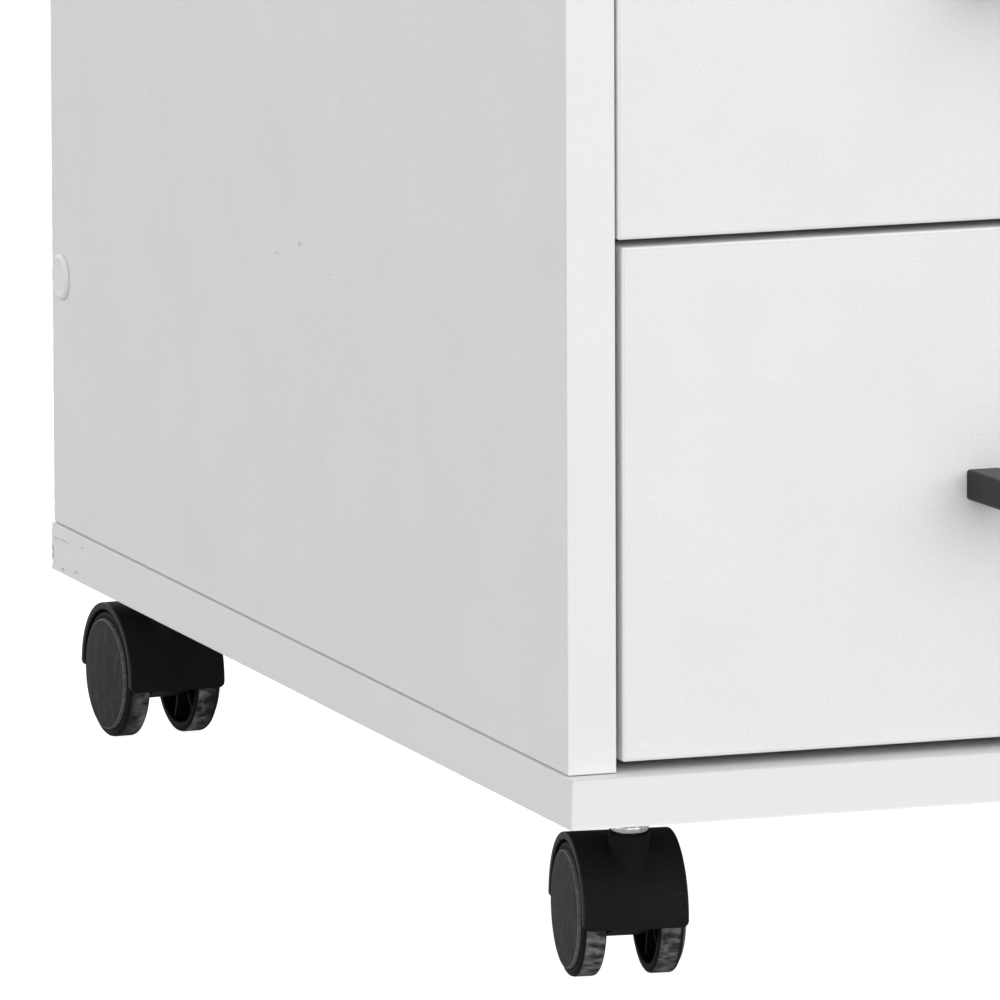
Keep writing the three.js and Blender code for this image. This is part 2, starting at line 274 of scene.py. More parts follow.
def makeScratches():
    tree, given, put = newGroup(
        "scratches",
        {"Vector": "NodeSocketVector", "Length": "NodeSocketFloat", "Cover": "NodeSocketFloat"},
        ["Mask"],
    )
    shape = scratchShape
    place = given.outputs["Vector"]
    scale = calculate(tree, "DIVIDE", 1.0, given.outputs["Length"])
    sockets = {"Vector": place, "Angle": shape["slant"]}
    slanted = addNode(tree, "ShaderNodeVectorRotate", {"rotation_type": "X_AXIS"}, sockets).outputs[0]
    stretched = vectorMath(tree, "MULTIPLY", slanted, shape["stretch"])[0]
    lines = noise(tree, stretched, scale, *shape["lines"])
    patchScale = calculate(tree, "MULTIPLY", scale, shape["patchScale"])
    where = noise(tree, place, patchScale, shape["patchDetail"])
    reach = calculate(tree, "MULTIPLY", given.outputs["Cover"], shape["coverReach"])
    start = calculate(tree, "SUBTRACT", shape["threshold"], reach)
    thin = remap(tree, lines, start, shape["full"], 0.0, 1.0)
    patch = remap(tree, where, *shape["patch"], 0.0, 1.0)
    tree.links.new(calculate(tree, "MULTIPLY", thin, patch), put.inputs["Mask"])
    return tree


def makeFlecks():
    tree, given, put = newGroup(
        "flecks",
        {"Vector": "NodeSocketVector", "Stretch": "NodeSocketVector", "Size": "NodeSocketFloat"},
        ["Mask"],
    )
    scale = calculate(tree, "DIVIDE", 1.0, given.outputs["Size"])
    stretched = vectorMath(tree, "MULTIPLY", given.outputs["Vector"], given.outputs["Stretch"])[0]
    patches = noise(tree, stretched, scale, *fleckShape["patches"])
    mask = remap(tree, patches, *fleckShape["span"], fleckShape["faintest"], 1.0)
    tree.links.new(mask, put.inputs["Mask"])
    return tree


# A small mark at one place, longer or shorter along each axis.
def makeNick():
    tree, given, put = newGroup(
        "nick",
        {"Vector": "NodeSocketVector", "Centre": "NodeSocketVector", "Stretch": "NodeSocketVector"},
        ["Mask"],
    )
    offset = vectorMath(tree, "SUBTRACT", given.outputs["Vector"], given.outputs["Centre"])[0]
    scaled = vectorMath(tree, "MULTIPLY", offset, given.outputs["Stretch"])[0]
    away = vectorMath(tree, "LENGTH", scaled)["Value"]
    ragged = noise(tree, given.outputs["Vector"], nickShape["raggedScale"], nickShape["detail"])
    ragged = remap(tree, ragged, *noiseSpan, *nickShape["raggedness"])
    away = calculate(tree, "ADD", away, ragged)
    tree.links.new(remap(tree, away, *nickShape["edge"], 1.0, 0.0), put.inputs["Mask"])
    return tree


grainGroup = makeGrain()
scuffGroup = makeScuffs()
scratchGroup = makeScratches()
fleckGroup = makeFlecks()
nickGroup = makeNick()


def groupNode(tree, group, place, **values):
    node = addNode(tree, "ShaderNodeGroup", {"node_tree": group}, {"Vector": place})
    for name, value in values.items():
        node.inputs[name].default_value = value
    return node


def grey(value):
    return (value, value, value, 1)


# One colour laid over another where a mask is bright.
def laidOver(tree, mask, under, tone):
    sockets = {0: mask, 6: under, 7: grey(tone)}
    return addNode(tree, "ShaderNodeMix", {"data_type": "RGBA"}, sockets).outputs[2]


# A surface between two tones, with grain in its colour, roughness and relief, and wear if it has any.
def surface(name, look):
    material = bpy.data.materials.new(name)
    material.use_nodes = True
    tree = material.node_tree
    shader = tree.nodes["Principled BSDF"]
    place = addNode(tree, "ShaderNodeTexCoord").outputs["Object"]
    given = {"Size": look["grain"], "Clouding": look.get("clouding", 0.4)}
    grain = groupNode(tree, grainGroup, place, **given).outputs
    low, high = look["tones"]
    colour = laidOver(tree, grain["Mask"], grey(low), high)
    sheen = remap(tree, grain["Mask"], 0.0, 1.0, *look["roughness"])
    for wear, group in (("scuffs", scuffGroup), ("scratches", scratchGroup), ("flecks", fleckGroup)):
        if wear in look:
            worn = look[wear]
            marks = groupNode(tree, group, place, **worn["where"]).outputs["Mask"]
            if "along" in worn:
                attribute = {"attribute_name": worn["along"]}
                reach = addNode(tree, "ShaderNodeAttribute", attribute).outputs["Fac"]
                marks = calculate(tree, "MULTIPLY", marks, remap(tree, reach, *alongSpan, 0.0, 1.0))
            strength = calculate(tree, "MULTIPLY", marks, worn["strength"])
            colour = laidOver(tree, strength, colour, worn["tone"])
            sheen = calculate(tree, "ADD", sheen, calculate(tree, "MULTIPLY", marks, worn["dulling"]))
    for centre, size in look.get("nicks", []):
        stretch = tuple(1 / length for length in size)
        mark = groupNode(tree, nickGroup, place, Centre=centre, Stretch=stretch).outputs["Mask"]
        colour = laidOver(tree, mark, colour, look["nickTone"])
    sockets = {"Strength": look["relief"], "Distance": reliefDepth, "Height": grain["Height"]}
    relief = addNode(tree, "ShaderNodeBump", None, sockets).outputs[0]
    for socket, value in (("Base Color", colour), ("Roughness", sheen), ("Normal", relief)):
        tree.links.new(value, shader.inputs[socket])
    for socket, value in look.get("shader", {}).items():
        shader.inputs[socket].default_value = value
    return material


# Knocks on the left of the cabinet: where each is from the panel's lower front corner, and its half size.
knocks = {
    "side": [
        (Vector((0, 240.3, 123.2)), (3, 1.6, 0.7)),
        (Vector((0, 244.5, 121.6)), (3, 0.8, 0.4)),
        (Vector((0, 262.0, 117.4)), (3, 1.5, 0.45)),
        (Vector((0, 268.0, 114.0)), (3, 0.8, 0.35)),
        (Vector((0, 212.0, 117.7)), (3, 0.6, 0.3)),
    ],
    "base": [
        (Vector((-1, 472.0, -4.2)), (3, 9.0, 0.28)),
        (Vector((-1, 453.0, -3.5)), (3, 2.4, 0.4)),
        (Vector((-1, 480.0, -4.6)), (3, 2.0, 0.4)),
        (Vector((-1, 460.0, -12.4)), (3, 3.0, 0.5)),
        (Vector((-1, 473.0, -13.6)), (3, 2.2, 0.5)),
        (Vector((-1, 483.2, -9.0)), (3, 1.0, 2.6)),
    ],
}


def knockPlaces(part):
    return [(sideLow + place * mm, [length * mm for length in size]) for place, size in knocks[part]]


finishes = {
    "laminate": {
        "tones": (0.75, 0.835),
        "roughness": (0.42, 0.52),
        "grain": 0.0007,
        "relief": 0.3,
        "clouding": 0.25,
        "scratches": {
            "where": {"Length": 0.03, "Cover": 0.5},
            "tone": 0.9,
            "strength": 0.5,
            "dulling": 0.1,
        },
        "nicks": knockPlaces("side"),
        "nickTone": 0.58,
    },
    "edgeBand": {
        "tones": (0.80, 0.82),
        "roughness": (0.36, 0.44),
        "grain": 0.0009,
        "relief": 0.15,
        "nicks": knockPlaces("base"),
        "nickTone": 0.5,
    },
    "glueLine": {"tones": (0.66, 0.72), "roughness": (0.7, 0.8), "grain": 0.0006, "relief": 0.2},
    "hardboard": {
        "tones": (0.70, 0.75),
        "roughness": (0.55, 0.65),
        "grain": 0.0012,
        "relief": 0.3,
    },
    "powderCoat": {
        "tones": (0.004, 0.010),
        "roughness": (0.36, 0.44),
        "grain": 0.0005,
        "relief": 0.5,
        "clouding": 0.2,
        "shader": {"Specular IOR Level": 0.23},
    },
    "casterNylon": {
        "tones": (0.006, 0.015),
        "roughness": (0.58, 0.7),
        "grain": 0.0007,
        "relief": 0.6,
        "scuffs": {
            "where": {"Size": 0.009, "Cover": 0.35},
            "tone": 0.016,
            "strength": 0.35,
            "dulling": 0.12,
        },
        "shader": {"Specular IOR Level": 0.06},
    },
    # painted highlight: a lighter copy of casterNylon for the hood's rim band, with glossier settings too
    "hoodRimHighlight": {
        "tones": (0.008, 0.018),
        "roughness": (0.42, 0.55),
        "grain": 0.0006,
        "relief": 0.4,
        "shader": {"Specular IOR Level": 0.2},
    },
    "wheelNylon": {
        "tones": (0.004, 0.008),
        "roughness": (0.6, 0.72),
        "grain": 0.0004,
        "relief": 0.4,
        "shader": {"Specular IOR Level": 0.15},
    },
    "wheelDisc": {
        "tones": (0.005, 0.02),
        "roughness": (0.48, 0.62),
        "grain": 0.0006,
        "relief": 0.6,
        "clouding": 0.3,
        "flecks": {
            "where": {"Size": 0.003, "Stretch": (1.4, 1.4, 0.55)},
            "tone": 0.066,
            "strength": 0.58,
            "dulling": 0.1,
        },
        "shader": {"Specular IOR Level": 0.11},
    },
    # painted highlight: a much lighter ring round the wheel disc's rim, standing in for light catching
    # its edge
    "discRimHighlight": {
        "tones": (0.05, 0.16),
        "roughness": (0.5, 0.65),
        "grain": 0.0014,
        "relief": 0.5,
        "shader": {"Specular IOR Level": 0.2},
    },
    "wheelTread": {
        "tones": (0.006, 0.014),
        "roughness": (0.75, 0.9),
        "grain": 0.0011,
        "relief": 0.8,
        "clouding": 0.1,
        "flecks": {
            "where": {"Size": 0.0034, "Stretch": (0.8, 1.3, 1.3)},
            "along": "contact",
            "tone": 0.25,
            "strength": 0.9,
            "dulling": 0.1,
        },
        "shader": {"Specular IOR Level": 0.2},
    },
    "zinc": {
        "tones": (0.45, 0.75),
        "roughness": (0.12, 0.22),
        "grain": 0.0012,
        "relief": 0.1,
        # the dark scuffs on the zinc are partly wear and partly painted reflection: dark patches standing
        # in for the black hood and the shaded underside of the base mirrored in the metal
        "scuffs": {
            "where": {"Size": 0.005, "Cover": 0.6},
            "tone": 0.1,
            "strength": 0.8,
            "dulling": 0.15,
        },
        "shader": {"Metallic": 1.0},
    },
    "whiteEpoxy": {"tones": (0.71, 0.74), "roughness": (0.3, 0.4), "grain": 0.0008, "relief": 0.3},
    "rollerNylon": {"tones": (0.62, 0.66), "roughness": (0.4, 0.5), "grain": 0.0006, "relief": 0.2},
    "capPlastic": {"tones": (0.83, 0.85), "roughness": (0.3, 0.38), "grain": 0.0008, "relief": 0.15},
}
materials = {name: surface(name, look) for name, look in finishes.items()}
print("materials made:", len(materials))


# tools that several pieces share
stepsOf = {
    "web": 96,
    "boss": 64,
    "cap": 64,
    "lip": 48,
    "bore": 48,
    "stem": 48,
    "tyre": 40,
    "rivet": 32,
    "screw": 32,
    "axle": 32,
}  # in a full turn


def bevelled(bm, geom, offset, segments, affect="EDGES"):
    bmesh.ops.bevel(
        bm,
        geom=geom,
        offset=offset,
        offset_type="OFFSET",
        segments=segments,
        profile=0.5,
        affect=affect,
        clamp_overlap=True,
        material=-1,
    )


def roundEdges(bm, offset, segments=3, sharperThan=40, keep=lambda edge: True):
    limit = math.radians(sharperThan)
    edges = [e for e in bm.edges if len(e.link_faces) == 2 and e.calc_face_angle() > limit and keep(e)]
    bevelled(bm, edges, offset, segments)


def block(low, high):
    bm = bmesh.new()
    bmesh.ops.create_cube(bm, size=1)
    bmesh.ops.scale(bm, vec=Vector(high) - Vector(low), verts=bm.verts)
    bmesh.ops.translate(bm, vec=(Vector(high) + Vector(low)) / 2, verts=bm.verts)
    return bm


def cylinder(radius, depth, segments, matrix, foot=None, capped=True):
    bm = bmesh.new()
    bmesh.ops.create_cone(
        bm,
        cap_ends=capped,
        segments=segments,
        radius1=foot or radius,
        radius2=radius,
        depth=depth,
        matrix=matrix,
    )
    return bm


# A profile of radius and height, turned round the Z axis.
def turned(profile, steps):
    bm = bmesh.new()
    verts = [bm.verts.new((radius, 0, height)) for radius, height in profile]
    edges = [bm.edges.new(pair) for pair in zip(verts, verts[1:])]
    around = {"cent": (0, 0, 0), "axis": (0, 0, 1), "angle": 2 * math.pi, "steps": steps}
    bmesh.ops.spin(bm, geom=verts + edges, use_merge=True, **around)
    bmesh.ops.remove_doubles(bm, verts=bm.verts, dist=weld)
    bmesh.ops.recalc_face_normals(bm, faces=bm.faces)
    return bm


def turnedMm(profile, steps):
    return turned([(radius * mm, height * mm) for radius, height in profile], steps)


def grown(bm, along):
    new = bmesh.ops.extrude_face_region(bm, geom=bm.faces[:])["geom"]
    ends = [v for v in new if isinstance(v, bmesh.types.BMVert)]
    bmesh.ops.translate(bm, vec=along, verts=ends)
    bmesh.ops.recalc_face_normals(bm, faces=bm.faces)
    return bm


# An outline in X and Z with softened corners, extruded along +Y.
def extruded(points, start, length, softening=0.0):
    bm = bmesh.new()
    face = bm.faces.new([bm.verts.new((x, start, z)) for x, z in points])
    if softening:
        bevelled(bm, face.verts[:], softening, 2, "VERTICES")
    return grown(bm, (0, length, 0))


def moved(bm, matrix):
    bmesh.ops.transform(bm, matrix=matrix, verts=bm.verts)
    return bm


# A shape as a mesh that no object uses yet.
def looseMesh(shape):
    mesh = bpy.data.meshes.new("shape")
    shape.to_mesh(mesh)
    shape.free()
    return mesh


def joined(*shapes):
    bm = bmesh.new()
    for shape in shapes:
        mesh = looseMesh(shape)
        bm.from_mesh(mesh)
        bpy.data.meshes.remove(mesh)
    return bm


# One shape added to another, or cut out of it.
def combined(first, second, operation):
    objects = []
    for shape in (first, second):
        objects.append(bpy.data.objects.new("shape", looseMesh(shape)))
        scene.collection.objects.link(objects[-1])
    cut = objects[0].modifiers.new("cut", "BOOLEAN")
    cut.operation = operation
    cut.solver = "EXACT"
    cut.object = objects[1]
    bpy.context.view_layer.update()
    evaluated = objects[0].evaluated_get(bpy.context.evaluated_depsgraph_get())
    bm = bmesh.new()
    bm.from_mesh(evaluated.data)
    for made in objects:
        mesh = made.data
        bpy.data.objects.remove(made)
        bpy.data.meshes.remove(mesh)
    return bm


def copyOf(mesh, matrix):
    bm = bmesh.new()
    bm.from_mesh(mesh)
    return moved(bm, matrix)


def addPiece(bm, name, body, finishNames, standsFor=(), smoothBelow=38):
    bmesh.ops.remove_doubles(bm, verts=bm.verts, dist=weld)
    bmesh.ops.recalc_face_normals(bm, faces=bm.faces)
    for face in bm.faces:
        face.smooth = True
    mesh = bpy.data.meshes.new(name)
    bm.to_mesh(mesh)
    bm.free()
    mesh.set_sharp_from_angle(angle=math.radians(smoothBelow))
    for finish in finishNames:
        mesh.materials.append(materials[finish])
    piece = bpy.data.objects.new(name, mesh)
    scene.collection.objects.link(piece)
    even = piece.modifiers.new("evenNormals", "WEIGHTED_NORMAL")
    even.keep_sharp = True
    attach(piece, body)
    if standsFor:
        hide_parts(*standsFor)
    return piece


# boards with banded edges
boardShape = {
    "rounding": 0.4 * mm,
    "frontRounding": 0.75 * mm,
    "boxRounding": 0.5 * mm,
    "segments": 4,
    "glueLine": 0.1 * mm,  # half the width of the joint between the face and its edge band
    "glueDepth": 0.05 * mm,
    "jointGap": 0.25 * mm,  # open joint under a side panel
}
chipping = {
    "seed": 11,
    "reach": 1.5 * mm,
    "shortest": 5 * mm,  # of the edges that count as upright
    "spread": (0.4, 1.0),  # of the depth at one level
    "boards": {"base_panel": (18, 0.9 * mm), "left_side_panel": (160, 0.2 * mm)},  # cuts and depth
}


def boardMesh(node, rounding, gap=0.0):
    low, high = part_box(node)
    low.z += gap
    size = high - low
    thin = min(range(3), key=lambda axis: size[axis])
    bm = block(low, high)
    roundEdges(bm, rounding, boardShape["segments"])
    wide = [f for f in bm.faces if abs(f.normal[thin]) > 0.999]
    for face in bm.faces:
        face.material_index = 1
    for depth in (-boardShape["glueDepth"], boardShape["glueDepth"]):
        ring = bmesh.ops.inset_individual(
            bm, faces=wide, thickness=boardShape["glueLine"], depth=depth, use_even_offset=True
        )
        for face in ring["faces"]:
            face.material_index = 2
    for face in wide:
        face.material_index = 0
    return bm


# Knocks small chips out of an upright edge of a board, at the corner nearest to a point.
def chipEdge(bm, corner, cuts, depth, draw):
    def near(vert):
        return max(abs(vert.co.x - corner.x), abs(vert.co.y - corner.y)) < chipping["reach"]

    def isUpright(edge):
        a, b = edge.verts
        return near(a) and near(b) and abs(a.co.z - b.co.z) > chipping["shortest"]

    upright = [e for e in bm.edges if isUpright(e)]
    old = set(bm.verts)
    bmesh.ops.subdivide_edges(bm, edges=upright, cuts=cuts, use_grid_fill=True)
    levels = {}
    inward = -corner.xy.normalized()
    for vert in bm.verts:
        if vert in old:
            continue
        level = round(vert.co.z, 5)
        if level not in levels:
            levels[level] = depth * draw.random() ** 3
        vert.co.xy += inward * levels[level] * draw.uniform(*chipping["spread"])


def addBoards():
    draw = random.Random(chipping["seed"])
    look = ["laminate", "edgeBand", "glueLine"]
    for node in ("base_panel", "top_panel", "left_side_panel", "right_side_panel", "back_panel"):
        bm = boardMesh(node, boardShape["rounding"], boardShape["jointGap"] if "side" in node else 0.0)
        if node in chipping["boards"]:
            low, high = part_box(node)
            chipEdge(bm, Vector((low.x, high.y, low.z)), *chipping["boards"][node], draw)
        addPiece(bm, node + "_board", "cabinet", look, [node])


addBoards()


capShape = {
    "rim": 0.3 * mm,
    "dome": [  # shares of the cap's radius and height
        (0.0, 0.82),
        (0.6, 0.82),
        (0.7, 0.86),
        (0.77, 0.96),
        (0.83, 1.0),
        (0.89, 0.96),
        (0.95, 0.8),
        (0.99, 0.55),
    ],
}


def addScrewCaps():
    for level in ("lower", "upper"):
        for side, sign in sides.items():
            node = f"{level}_{side}_screw_cap"
            low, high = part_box(node)
            radius = (high.y - low.y) / 2
            height = high.x - low.x
            profile = [(radius * r, height * h) for r, h in capShape["dome"]]
            profile += [(radius, capShape["rim"]), (radius, 0), (0, 0)]
            bm = turned(profile, stepsOf["cap"])
            middle = (low + high) / 2
            middle.x = low.x if sign > 0 else high.x
            moved(bm, Matrix.Translation(middle) @ Matrix.Rotation(sign * math.pi / 2, 4, "Y"))
            addPiece(bm, f"{level}_{side}_cap", "cabinet", ["capPlastic"], [node])


addScrewCaps()
print("cabinet boards and caps made")


# drawers
handleShape = {
    "bar": 10.6 * mm,
    "lean": math.radians(4.5),
    "bend": 1.4 * mm,
    "rounding": 0.95 * mm,
    "centres": 128 * mm,
    "hair": 0.01 * mm,  # how near to the front a foot's edges lie
}
screwShape = {
    "head": [(0.0, 2.1), (1.6, 2.0), (2.9, 1.6), (3.7, 0.8), (3.9, 0.25), (3.9, 0.0), (0.0, 0.0)],
    "cross": (0.9, 4.2, 1.3),  # width, length and depth of each slot
}


# A bow in plan: its feet stand on the drawer front.
def handleMesh(node):
    low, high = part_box(node)
    lean = math.tan(handleShape["lean"])
    middle = (low.x + high.x) / 2
    reach = high.y - low.y
    outer = (high.x - low.x) / 2
    inner = outer - handleShape["bar"]
    inside = reach - handleShape["bar"]
    half = [(inner - inside * lean, inside), (inner, 0), (outer, 0), (outer - reach * lean, reach)]
    plan = half + [(-x, y) for x, y in reversed(half)]
    bm = bmesh.new()
    bm.faces.new([bm.verts.new((middle + x, high.y - y, low.z)) for x, y in plan])
    grown(bm, (0, 0, high.z - low.z))
    foot = high.y - handleShape["hair"]

    def isBend(edge):
        a, b = edge.verts
        return a.co.y < foot and abs(a.co.z - b.co.z) > mm

    def isLong(edge):
        a, b = edge.verts
        return not (a.co.y > foot and b.co.y > foot)

    roundEdges(bm, handleShape["bend"], segments=4, keep=isBend)
    roundEdges(bm, handleShape["rounding"], segments=4, sharperThan=60, keep=isLong)
    return bm


def screwMaster():
    bm = turnedMm(screwShape["head"], stepsOf["screw"])
    width, length, depth = (value * mm for value in screwShape["cross"])
    top = screwShape["head"][0][1] * mm
    for a, b in ((width, length), (length, width)):
        slot = block((-a / 2, -b / 2, top - depth), (a / 2, b / 2, top + depth))
        bm = combined(bm, slot, "DIFFERENCE")
    return looseMesh(bm)


screwHead = screwMaster()


# Screw heads at several places, each facing along an axis.
def addScrews(name, body, places, facing):
    turning = Vector(facing).to_track_quat("Z", "X").to_matrix().to_4x4()
    heads = [copyOf(screwHead, Matrix.Translation(place) @ turning) for place in places]
    addPiece(joined(*heads), name, body, ["zinc"])


boxSideShape = {"grooveClear": 0.3 * mm, "rounding": 0.4 * mm}


# The side of a drawer box, with the groove that holds the bottom.
def boxSideMesh(node, sign):
    low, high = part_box(node)
    bottomLow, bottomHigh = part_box(node.split("_")[0] + "_box_bottom")
    clear = boxSideShape["grooveClear"]
    outer, inner = (high.x, low.x) if sign > 0 else (low.x, high.x)
    edge = bottomHigh.x + clear if sign > 0 else bottomLow.x - clear
    points = [
        (outer, low.z),
        (inner, low.z),
        (inner, bottomLow.z - clear),
        (edge, bottomLow.z - clear),
        (edge, bottomHigh.z + clear),
        (inner, bottomHigh.z + clear),
        (inner, high.z),
        (outer, high.z),
    ]
    bm = extruded(points, low.y, high.y - low.y)
    roundEdges(bm, boxSideShape["rounding"], segments=2)
    for face in bm.faces:
        face.material_index = 1 if abs(face.normal.x) < 0.5 else 0
    return bm


# The heights are above the lower edge of the drawer box.
runnerShape = {
    "sheet": 1.25 * mm,
    "softening": 0.5 * mm,
    "lip": 5.5 * mm,
    "foot": 10 * mm,
    "flange": 13.75 * mm,
    "rollerInset": 10 * mm,  # from the runner's end
    "drawerRoller": 5.25 * mm,
    "cabinetRoller": 5.75 * mm,
    "slots": (0.12, 0.42, 0.78),  # share of the runner's length
    "slotSize": (9 * mm, 4.6 * mm),
    "slotRounding": 0.48,  # share of the slot's height
    "drawerSlots": 7 * mm,
    "cabinetSlots": 3 * mm,  # above the middle of the channel
    "cutter": 20 * mm,
    "boxScrews": (0.15, 0.5, 0.85),
    "channelScrews": (0.08, 0.36, 0.9),
    "channelScrewRise": 12 * mm,
}
# Radius and height in mm, from the web that the roller stands on.
rollerShape = {
    "tyre": [
        (2.2, 0.5),
        (6.8, 0.5),
        (8.0, 1.2),
        (8.0, 5.2),
        (7.1, 5.9),
        (4.6, 5.9),
        (4.2, 5.1),
        (2.2, 5.1),
        (2.2, 0.5),
    ],
    "rivet": [(0, -0.2), (2, -0.2), (2, 5.2), (3.4, 5.2), (3.1, 5.8), (1.8, 6.2), (0, 6.3)],
}


def sheetRunner(points, node, slotHeight, webX):
    low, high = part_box(node)
    length = high.y - low.y
    bm = extruded(points, low.y, length, runnerShape["softening"])
    slotLong, slotHigh = runnerShape["slotSize"]
    reach = runnerShape["cutter"]

    def isAcross(edge):
        return abs(edge.verts[0].co.x - edge.verts[1].co.x) > reach

    for share in runnerShape["slots"]:
        y = low.y + length * share
        slotLow = (-reach, y, slotHeight - slotHigh / 2)
        cutter = block(slotLow, (reach, y + slotLong, slotHeight + slotHigh / 2))
        roundEdges(cutter, slotHigh * runnerShape["slotRounding"], segments=4, keep=isAcross)
        bmesh.ops.translate(cutter, vec=(webX, 0, 0), verts=cutter.verts)
        bm = combined(bm, cutter, "DIFFERENCE")
    return bm


def cabinetRunnerMesh(node, sign):
    low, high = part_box(node)
    sheet = runnerShape["sheet"]
    wall, tread = (high.x, low.x) if sign > 0 else (low.x, high.x)
    lip = wall - sign * runnerShape["lip"]
    web = wall - sign * sheet
    points = [
        (wall, low.z),
        (tread, low.z),
        (tread, low.z + sheet),
        (web, low.z + sheet),
        (web, high.z - sheet),
        (lip, high.z - sheet),
        (lip, high.z),
        (wall, high.z),
    ]
    return sheetRunner(points, node, (low.z + high.z) / 2 + runnerShape["cabinetSlots"], wall)


def drawerRunnerMesh(node, sign):
    low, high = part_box(node)
    sheet = runnerShape["sheet"]
    foot, flange = (low.x, high.x) if sign > 0 else (high.x, low.x)
    wall = foot + sign * runnerShape["foot"]
    web = wall + sign * sheet
    boxLow = low.z + sheet
    flangeLow = boxLow + runnerShape["flange"]
    points = [
        (foot, low.z),
        (web, low.z),
        (web, flangeLow),
        (flange, flangeLow),
        (flange, flangeLow + sheet),
        (web, flangeLow + sheet),
        (web, high.z),
        (wall, high.z),
        (wall, boxLow),
        (foot, boxLow),
    ]
    return sheetRunner(points, node, boxLow + runnerShape["drawerSlots"], foot)


# A nylon roller on its rivet, standing on a runner's web and facing along X.
def addRoller(name, body, place, sign):
    rivet = turnedMm(rollerShape["rivet"], stepsOf["rivet"])
    for face in rivet.faces:
        face.material_index = 1
    bm = joined(turnedMm(rollerShape["tyre"], stepsOf["tyre"]), rivet)
    moved(bm, Matrix.Translation(place) @ Matrix.Rotation(sign * math.pi / 2, 4, "Y"))
    addPiece(bm, name, body, ["rollerNylon", "zinc"])


# The two halves of a runner, each with its roller and its screws.
def addRunner(name, side, sign, body):
    node = f"{name}_{side}_drawer_runner"
    runner = drawerRunnerMesh(node, sign)
    addPiece(runner, f"{name}_{side}_hanging_runner", body, ["whiteEpoxy"], [node])
    low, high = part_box(node)
    length = high.y - low.y
    footX = low.x if sign > 0 else high.x
    boxLow = low.z + runnerShape["sheet"]
    webX = footX + sign * (runnerShape["foot"] + runnerShape["sheet"])
    rear = Vector((webX, high.y - runnerShape["rollerInset"], boxLow + runnerShape["drawerRoller"]))
    addRoller(f"{name}_{side}_rear_roller", body, rear, sign)
    screwX = footX + sign * runnerShape["foot"] / 2
    under = [Vector((screwX, low.y + share * length, low.z)) for share in runnerShape["boxScrews"]]
    addScrews(f"{name}_{side}_box_screws", body, under, (0, 0, -1))

    node = f"{name}_{side}_cabinet_runner"
    channel = cabinetRunnerMesh(node, sign)
    addPiece(channel, f"{name}_{side}_channel", "cabinet", ["whiteEpoxy"], [node])
    low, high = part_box(node)
    length = high.y - low.y
    webX = (high.x if sign > 0 else low.x) - sign * runnerShape["sheet"]
    ahead = Vector((webX, low.y + runnerShape["rollerInset"], boxLow + runnerShape["cabinetRoller"]))
    addRoller(f"{name}_{side}_front_roller", "cabinet", ahead, -sign)
    rise = boxLow + runnerShape["channelScrewRise"]
    onWeb = [Vector((webX, low.y + share * length, rise)) for share in runnerShape["channelScrews"]]
    addScrews(f"{name}_{side}_channel_screws", "cabinet", onWeb, (-sign, 0, 0))


def addDrawer(name):
    body = name + "_drawer"
    look = ["laminate", "edgeBand", "glueLine"]
    front = name + "_drawer_front"
    board = boardMesh(front, boardShape["frontRounding"])
    addPiece(board, name + "_front_board", body, look, [front])
    handle = name + "_drawer_handle"
    addPiece(handleMesh(handle), name + "_bow_handle", body, ["powderCoat"], [handle])
    back = name + "_box_back"
    board = boardMesh(back, boardShape["boxRounding"])
    addPiece(board, name + "_back_board", body, look, [back])
    bottom = frame["nodes"][name + "_box_bottom"]
    bottom.data.materials.clear()
    bottom.data.materials.append(materials["hardboard"])

    low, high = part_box(handle)
    middle = (low + high) / 2
    half = Vector((handleShape["centres"] / 2, 0, 0))
    inside = Vector((middle.x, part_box(front)[1].y, middle.z))
    addScrews(name + "_handle_screws", body, [inside - half, inside + half], (0, 1, 0))

    for side, sign in sides.items():
        wall = f"{name}_box_{side}_side"
        board = boxSideMesh(wall, sign)
        addPiece(board, f"{name}_{side}_side_board", body, ["laminate", "edgeBand"], [wall])
        addRunner(name, side, sign, body)
    print(name, "drawer made")


for name in drawerNames:
    addDrawer(name)


# casters, each built round its axle with its stem towards -Y
hoodShape = {
    "width": 31.9 * mm,
    "inside": 20.6 * mm,
    "outside": 22.85 * mm,
    "rearEnd": -math.degrees(math.asin(0.8 / 22.85)),
    "frontEnd": 180 + math.degrees(math.asin(2.75 / 22.85)),
    "edge": 0.45 * mm,
    "lipCorner": 2.2 * mm,
    "steps": 44,
    "webWidth": 12 * mm,
    "webBoss": 8.5 * mm,
    "bossTop": 24.65 * mm,
    "bossRadius": 6.25 * mm,
    "bossFoot": 5.0 * mm,
    "bossLow": 6 * mm,
    "bossRounding": 0.5 * mm,
    "bore": 4.35 * mm,
    "boreSpan": (-22 * mm, 8 * mm),  # from the boss's top
    "trail": 13.5 * mm,
    "lipCut": (-1.6 * mm, 5 * mm),  # how far the cutters reach, from the inside of the shell
    "lipPillar": 20 * mm,
    "highlightBand": 0.4 * mm,  # width of the rim band, painted lighter as a highlight and made glossier
}
